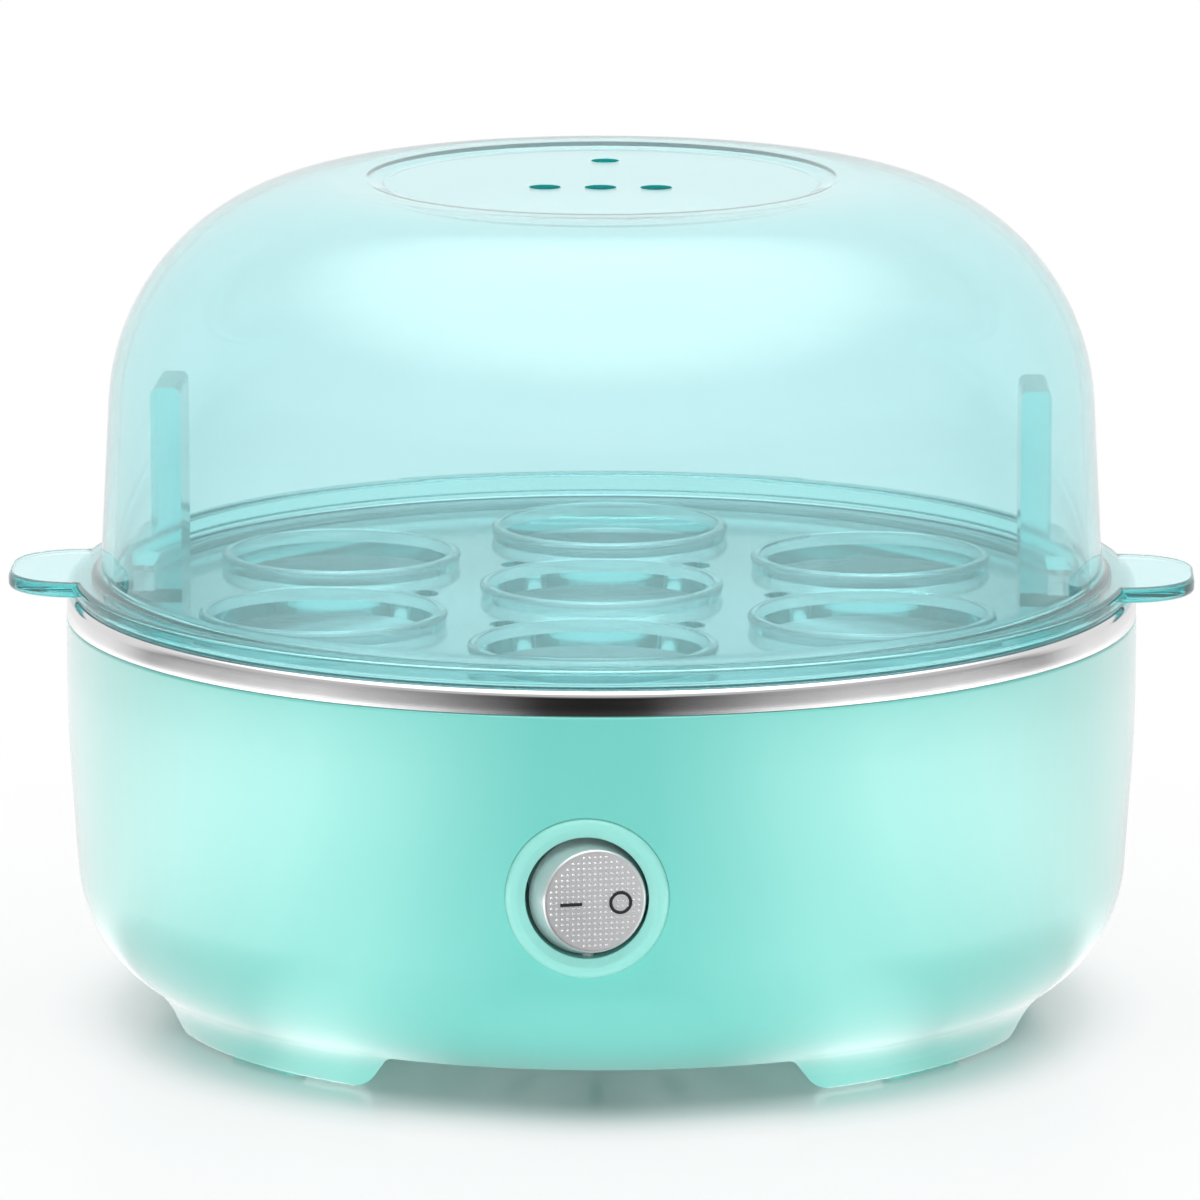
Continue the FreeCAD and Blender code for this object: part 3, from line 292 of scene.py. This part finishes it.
# Heater and wiring, out of sight below the pan: the seals, the thermostat, the fuse in its sleeve,
# the terminal block and the insulated wires, each in the usual colour of its kind.
dress(moulded("silicone", (0.62, 0.62, 0.6), 0.45), "plate_seal", "element_seals")
dress(moulded("black_plastic", (0.03, 0.03, 0.032), 0.4), "thermostat", "rocker_plunger")
dress(moulded("white_plastic", (0.78, 0.78, 0.76), 0.35), "terminal_block", "thermal_fuse")
dress(moulded("glass_fibre", (0.7, 0.68, 0.6), 0.7, 0.00006, 1500.0), "fuse_sleeve")
dress(moulded("lamp_glass", (0.7, 0.55, 0.45), 0.1), "neon_lamp")
wire_colours = {
    "brown_wire": ((0.16, 0.07, 0.03), ("live_wire", "switched_wire")),
    "red_wire": ((0.5, 0.03, 0.03), ("element_wire", "fuse_wire")),
    "blue_wire": ((0.03, 0.12, 0.5), ("neutral_wire", "lamp_wire")),
    "green_yellow_wire": ((0.25, 0.5, 0.05), ("earth_wire",)),
}
for colour_name, (colour, wires) in wire_colours.items():
    dress(moulded(colour_name, colour, 0.4), *wires)


# The egg tray and the lid are moulded from clear teal plastic.
# They are a little milky, and the tint deepens with the thickness that the light crosses.
def clear_plastic(name, tint, density, roughness, ripple, clearness):
    """Clear plastic: glass that lets lamps through, a little milky, with a tint inside its wall."""
    finish, wire, place = new_finish(name)
    flow = noise(place, 28.0, 1.0)
    values = {
        "Base Color": (0.86, 0.95, 0.96, 1.0),
        "Roughness": roughness,
        "IOR": 1.46,
        "Transmission Weight": clearness,
        "Normal": bump(flow, ripple),
    }
    body = wire.node("BsdfPrincipled", {}, values)
    open_way = wire.node("BsdfTransparent", {}, {"Color": (0.96, 1.0, 1.0, 1.0)})
    is_shadow = wire.node("LightPath", {}, {}, out="Is Shadow Ray")
    both = wire.node("MixShader", {}, {0: is_shadow, 1: body, 2: open_way})
    inside = wire.node("VolumeAbsorption", {}, {"Color": tint, "Density": density})
    return close_finish(finish, both, inside)


teal_tint = (0.08, 0.86, 0.86, 1.0)
flow_ripple = 0.00001
clear_tray = clear_plastic("clear_teal_tray", teal_tint, 60.0, 0.1, flow_ripple, 0.88)
dress(clear_tray, "egg_tray")


# The lid is one clear moulding: a dome with a shallow recess on top, a flange that rests on the pan's rim,
# a lip inside the pan and two ears. Three steam holes and a dimple are in the recess; their walls are matt.
def alone(piece):
    """Selects one piece and makes it the active one."""
    bpy.ops.object.select_all(action="DESELECT")
    piece.select_set(True)
    bpy.context.view_layer.objects.active = piece


def apply_modifier(piece, kind, **settings):
    alone(piece)
    made = piece.modifiers.new(kind.lower(), kind)
    for name, value in settings.items():
        setattr(made, name, value)
    bpy.ops.object.modifier_apply(modifier=made.name)


def cut(piece, tool):
    """Takes a tool's shape, with its finish, out of a piece."""
    apply_modifier(
        piece,
        "BOOLEAN",
        operation="DIFFERENCE",
        object=tool,
        solver="EXACT",
        material_mode="TRANSFER",
    )
    alone(tool)
    bpy.ops.object.delete()


lid_wall = 0.0016
flange_gap = 0.0003
flange_thickness = 0.0024
lip_gap = 0.0004
lid_draft = 0.0032
foot_step = 0.0006
shoulder_round = 0.0362
crown_reach = 0.0347
crown_depth = 0.0007
crown_slope = 0.0026
crown_round = 0.0025
foot_round = 0.0015
flange_round = 0.0008
flange_under_round = 0.0005
lip_round = 0.0003
ear_half_width = 0.0145
ear_round = 0.0105
ear_root = 0.0025
ear_edge = 0.0007
hole_radius = 0.00242
hole_pitch = 0.0085
hole_forward = 0.0057
dimple_radius = 0.00215
dimple_back = 0.021
dimple_depth = 0.0005
lid_low, lid_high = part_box("lid")
lid_top, lip_bottom = lid_high[2], lid_low[2]
ear_tip, flange_reach = lid_high[0], lid_high[1]
flange_bottom = rim_top + flange_gap
flange_top = flange_bottom + flange_thickness
lip_reach = recess - lip_gap
foot_reach = lip_reach + foot_step
top_reach = foot_reach - lid_draft
crown = lid_top - crown_depth
slope_foot = crown_reach - crown_slope / 2
slope_top = crown_reach + crown_slope / 2
lid = turned("clear_lid", rounded([
    (0.0, crown, 0.0),
    (slope_foot, crown, crown_round),
    (slope_top, lid_top, crown_round),
    (top_reach, lid_top, shoulder_round),
    (foot_reach, flange_top, foot_round),
    (flange_reach, flange_top, flange_round),
    (flange_reach, flange_bottom, flange_under_round),
    (lip_reach, flange_bottom, 0.0),
    (lip_reach, lip_bottom, lip_round),
    (foot_reach - lid_wall, lip_bottom, 0.0),
    (top_reach - lid_wall, lid_top - lid_wall, shoulder_round - lid_wall),
    (slope_top, lid_top - lid_wall, crown_round),
    (slope_foot, crown - lid_wall, crown_round),
    (0.0, crown - lid_wall, 0.0),
]))
clear_lid = clear_plastic("clear_teal_lid", teal_tint, 95.0, 0.02, flow_ripple, 0.93)
lid.data.materials.append(clear_lid)

ear_inside = flange_reach - ear_root
ear_middle = ((ear_tip + ear_inside) / 2, 0.0, flange_bottom + flange_thickness / 2)
bpy.ops.mesh.primitive_cube_add(size=1.0, location=ear_middle)
ear = bpy.context.object
ear.name = "ear"
ear.scale = (ear_tip - ear_inside, 2 * ear_half_width, flange_thickness)
bpy.ops.object.transform_apply(location=True, scale=True)


def round_ear(radius, segments, wanted):
    """Rounds the ear's edges whose two ends are both as wanted."""
    bpy.ops.object.mode_set(mode="EDIT")
    bpy.ops.mesh.select_mode(type="EDGE")
    bpy.ops.mesh.select_all(action="DESELECT")
    bpy.ops.object.mode_set(mode="OBJECT")
    for edge in ear.data.edges:
        edge.select = wanted(*(ear.data.vertices[number].co for number in edge.vertices))
    bpy.ops.object.mode_set(mode="EDIT")
    bpy.ops.mesh.bevel(offset=radius, segments=segments, affect="EDGES")
    bpy.ops.object.mode_set(mode="OBJECT")


near_enough = 0.0001
tip_limit = ear_tip - near_enough
root_limit = ear_inside + near_enough
round_ear(ear_round, 16, lambda a, b: min(a.x, b.x) > tip_limit and abs(a.z - b.z) > ear_edge)
round_ear(ear_edge, 5, lambda a, b: max(a.x, b.x) > root_limit and abs(a.z - b.z) < ear_edge)
bpy.ops.object.duplicate()
other_ear = bpy.context.object
other_ear.rotation_euler = (0.0, 0.0, math.pi)
bpy.ops.object.transform_apply(rotation=True)
for handle in (ear, other_ear):
    apply_modifier(lid, "BOOLEAN", operation="UNION", object=handle, solver="EXACT")
    alone(handle)
    bpy.ops.object.delete()

hole_wall = moulded("hole_wall", (0.02, 0.5, 0.48), 0.35)
hole_places = [(step * hole_pitch, -hole_forward, crown - lid_wall / 2) for step in (-1, 0, 1)]
tools = [(place, hole_radius, 3 * lid_wall) for place in hole_places]
tools.append(((0.0, dimple_back, crown), dimple_radius, 2 * dimple_depth))
for place, radius, depth in tools:
    bpy.ops.object.select_all(action="DESELECT")
    bpy.ops.mesh.primitive_cylinder_add(vertices=48, radius=radius, depth=depth, location=place)
    bpy.context.object.data.materials.append(hole_wall)
    cut(lid, bpy.context.object)
alone(lid)
bpy.ops.object.shade_smooth_by_angle(angle=math.radians(30.0))
apply_modifier(lid, "WEIGHTED_NORMAL", keep_sharp=True, weight=90)
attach(lid, "lid")
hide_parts("lid")

# The rocker is a tapered cap with a metallised face. Its dots are raised by the tool, in rows,
# and a dash and a ring are printed on it. It leans to the side that was pressed last.
rocker_lean = math.radians(14.0)
rocker_pivot = (0.0, -0.0791, 0.0352)
face_rise = 0.0053
dot_pitch = 0.00083
dot_radius = 0.00022
dot_height = 0.00014
dot_top = 0.45
dots_reach = 0.0072
mark_height = 0.00018
mark_round = 0.00006
dash_place = (-0.00364, -0.0003)
dash_length = 0.0033
dash_width = 0.0005
ring_place = (0.00385, -0.0003)
ring_outer = 0.00174
ring_line = 0.00047


def seat_on_face(piece):
    """Moves a piece drawn flat, with its face up, onto the rocker's face, and puts its origin back."""
    way_out = (math.sin(rocker_lean), -math.cos(rocker_lean), 0.0)
    piece.rotation_euler = (math.pi / 2, 0.0, rocker_lean)
    piece.location = [rocker_pivot[axis] + face_rise * way_out[axis] for axis in range(3)]
    alone(piece)
    bpy.ops.object.transform_apply(location=True, rotation=True, scale=True)


bpy.ops.object.select_all(action="DESELECT")
dots_side = int(dots_reach / dot_pitch)
first_dot = -dots_side * dot_pitch
bpy.ops.mesh.primitive_cone_add(
    vertices=6,
    radius1=dot_radius,
    radius2=dot_radius * dot_top,
    depth=dot_height,
    location=(first_dot, first_dot, dot_height / 2),
)
dots = bpy.context.object
dots.name = "rocker_dots"
bpy.ops.object.transform_apply(location=True)
for step in ((dot_pitch, 0.0, 0.0), (0.0, dot_pitch, 0.0)):
    apply_modifier(
        dots,
        "ARRAY",
        count=2 * dots_side + 1,
        use_relative_offset=False,
        use_constant_offset=True,
        constant_offset_displace=step,
    )
alone(dots)
bpy.ops.object.mode_set(mode="EDIT")
bpy.ops.mesh.select_mode(type="FACE")
bpy.ops.mesh.select_all(action="DESELECT")
bpy.ops.object.mode_set(mode="OBJECT")
for face in dots.data.polygons:
    spot = [round(face.center[axis] / dot_pitch) * dot_pitch for axis in range(2)]
    face.select = math.hypot(*spot) > dots_reach - dot_radius
bpy.ops.object.mode_set(mode="EDIT")
bpy.ops.mesh.delete(type="FACE")
bpy.ops.object.mode_set(mode="OBJECT")
seat_on_face(dots)
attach(dots, "switch_rocker")

bpy.ops.object.select_all(action="DESELECT")
bpy.ops.mesh.primitive_cube_add(size=1.0, location=(*dash_place, mark_height / 2))
dash = bpy.context.object
dash.name = "dash_mark"
dash.scale = (dash_length, dash_width, mark_height)
bpy.ops.object.transform_apply(location=True, scale=True)
apply_modifier(dash, "BEVEL", width=mark_round, segments=2)
seat_on_face(dash)

ring_inner = ring_outer - ring_line
ring_outline = rounded([
    (ring_inner, 0.0, 0.0),
    (ring_outer, 0.0, 0.0),
    (ring_outer, mark_height, mark_round),
    (ring_inner, mark_height, mark_round),
], steps=3)
ring = turned("ring_mark", ring_outline + ring_outline[:1], steps=64)
ring.location = (*ring_place, 0.0)
bpy.ops.object.transform_apply(location=True)
seat_on_face(ring)

ink = moulded("black_print", (0.012, 0.012, 0.013), 0.45)
for mark in (dash, ring):
    mark.data.materials.append(ink)
    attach(mark, "switch_rocker")

finish, wire, place = new_finish("silver_rocker")
sparkle = noise(place, 2200.0, 1.0)
cloud = noise(place, 120.0)
values = {
    "Base Color": cloud.blend((0.6, 0.6, 0.61, 1.0), (0.7, 0.7, 0.71, 1.0)),
    "Metallic": 0.7,
    "Roughness": 0.34 + 0.1 * (sparkle - 0.5),
    "Normal": bump(sparkle, 0.000004),
}
silver = close_finish(finish, wire.node("BsdfPrincipled", {}, values))
dress(silver, "switch_rocker")
# The dots are the face's own metallised plastic. Their paler base colour is a painted highlight; their
# lower roughness is a glossier finish.
dots.data.materials.append(moulded("highlight_painted_dots", (0.78, 0.78, 0.79), 0.22, Metallic=0.5))

# The floor is a pale sweep with a soft sheen. It looks white to the camera, and glossy pieces see
# in it the same bright sides and dim front as in the studio.
floor_size = 12.0
studio_level = 5.4
glow_side = 0.365
glow_front = 0.385
far_dim = 0.86
studio_ring = (
    (0.0, 0.02),
    (0.008, 0.025),
    (0.02, 0.13),
    (0.087, 0.5),
    (0.215, 0.85),
    (0.41, 0.78),
    (0.63, 0.45),
    (0.7, 0.37),
    (0.874, 0.23),
    (1.0, 0.15),
)


def turn_from_front(direction):
    """0 for a direction to the front, 0.5 to either side and 1 to the back."""
    x = direction.node("SeparateXYZ", {}, {"Vector": direction})
    y = x.also("Y")
    return 0.5 + 0.5 * (y / (x * x + y * y + 0.000001).root())


def studio_glow(turn):
    """How bright the sides of the studio look in glossy pieces."""
    return turn.node("ValToRGB", {"stops": studio_ring}, {"Fac": turn}) * studio_level


bpy.ops.object.select_all(action="DESELECT")
bpy.ops.mesh.primitive_plane_add(size=floor_size)
floor = bpy.context.object
floor.name = "floor"
finish, wire, place = new_finish("pale_floor")
path = wire.node("LightPath", {}, {}, out="Is Camera Ray")
seen = (path + path.also("Is Transmission Ray")).at_most(1.0)
is_glossy = path.also("Is Glossy Ray")
values = {
    "Base Color": (0.88, 0.89, 0.89, 1.0),
    "Roughness": 0.2,
    "Specular IOR Level": 0.2,
}
plain = wire.node("BsdfPrincipled", {}, values)
x = wire.node("SeparateXYZ", {}, {"Vector": place})
y = x.also("Y")
reach = (x * x / glow_side ** 2 + y * y / glow_front ** 2).root()
turn = turn_from_front(place)
far = reach.between(1.0, 1.03)
beside_feet = turn.between(0.08, 0.2) * (1.0 - 0.5 * turn.between(0.45, 0.62))
foot_dim = beside_feet * (1.0 - reach.between(0.22, 0.52))
near = (1.0 - far_dim * far) * (0.8 + 0.2 * reach.between(0.4, 0.75)) * (1.0 - 0.68 * foot_dim)
behind = turn.between(0.5, 0.75) * far
close = 0.6 * (1.0 - reach.between(0.22, 0.3))
glow_level = (studio_glow(turn) * near).at_least(behind).at_least(close)
glow = wire.node("Emission", {}, {"Strength": glow_level})
white = wire.node("Emission", {}, {"Strength": 1.0})
whiteness = 0.8 * reach.between(0.165, 0.242) + 0.2 * reach.between(0.242, 0.6)
pale = wire.node("MixShader", {}, {0: whiteness, 1: plain, 2: white})
bounce = reach.between(0.35, 0.6).blend((0.95, 0.95, 0.95, 1.0), (0.25, 0.25, 0.25, 1.0))
dull = wire.node("BsdfDiffuse", {}, {"Color": bounce})
rest = wire.node("MixShader", {}, {0: is_glossy, 1: dull, 2: glow})
floor_look = wire.node("MixShader", {}, {0: seen, 1: rest, 2: pale})
floor.data.materials.append(close_finish(finish, floor_look))

# The studio round the object: white behind it, bright at both sides and dim where the camera stands.
# Softboxes at the sides and above give the plain light.
upper_level = 0.7
overhead_level = 3.0
ambient_level = 0.12
world = bpy.data.worlds.new("studio")
world.use_nodes = True
bpy.context.scene.world = world
world.node_tree.nodes.clear()
wire = Wire(world.node_tree)
way = wire.node("TexCoord", {}, {}, out="Generated")
height = wire.node("SeparateXYZ", {}, {"Vector": way}, out="Z")
path = wire.node("LightPath", {}, {}, out="Is Camera Ray")
is_glossy = path.also("Is Glossy Ray")
seen = (path + path.also("Is Transmission Ray")).at_most(1.0)
overhead = height.between(0.6, 0.95)
turn = turn_from_front(way)
around = (studio_glow(turn) * (1.0 - far_dim)).at_least(turn.between(0.5, 0.75))
around = around.at_least(upper_level * height.between(0.08, 0.3))
mirror = around * (1.0 - overhead) + overhead * overhead_level
strength = (is_glossy * mirror).at_least(seen).at_least(ambient_level)
backdrop = wire.node("Background", {}, {"Color": (1.0, 1.0, 1.0, 1.0), "Strength": strength})
world_out = world.node_tree.nodes.new("ShaderNodeOutputWorld")
world.node_tree.links.new(backdrop.socket, world_out.inputs["Surface"])


aim_height = 0.06


def softbox(name, place, width, height, power):
    """A rectangular softbox that looks at the middle of the object and isn't seen itself."""
    bpy.ops.object.light_add(type="AREA", location=place)
    lamp = bpy.context.object
    lamp.name = name
    lamp.data.shape = "RECTANGLE"
    lamp.data.size = width
    lamp.data.size_y = height
    lamp.data.energy = power
    gaze = (-place[0], -place[1], aim_height - place[2])
    tilt = math.atan2(math.hypot(*gaze[:2]), -gaze[2])
    lamp.rotation_euler = (tilt, 0.0, math.atan2(-gaze[0], gaze[1]))
    lamp.visible_camera = False
    lamp.visible_glossy = False
    lamp.visible_transmission = False


softbox("left_box", (-1.2, 0.0, 0.5), 0.6, 0.8, 2.0)
softbox("right_box", (1.2, 0.0, 0.5), 0.6, 0.8, 2.0)
softbox("top_box", (0.0, 0.0, 1.3), 1.0, 1.0, 11.0)
softbox("front_box", (0.0, -1.3, 0.16), 0.5, 0.3, 11.0)
softbox("back_box", (0.0, 1.3, 0.16), 0.5, 0.3, 11.0)

# The camera stands well back with a long lens, a little above the lid and a little to the right.
# The shift keeps the part in the middle of the square frame.
bpy.ops.object.camera_add()
camera = bpy.context.object
camera_turn = math.radians(1.5)
camera_back = 1.7
camera_up = 0.39445
camera_dip = 0.1919
camera_x = camera_back * math.sin(camera_turn)
camera_y = -camera_back * math.cos(camera_turn)
camera.location = (camera_x, camera_y, camera_up)
camera.rotation_euler = (math.pi / 2 - camera_dip, 0.0, camera_turn)
camera.data.sensor_width = 36.0
camera.data.lens = 336.58
frame_pixels = 1200.0
shift_pixels = -1.5
camera.data.shift_x = shift_pixels / frame_pixels
camera.data.clip_end = 50.0
bpy.context.scene.camera = camera
bpy.context.scene.view_settings.view_transform = "Standard"
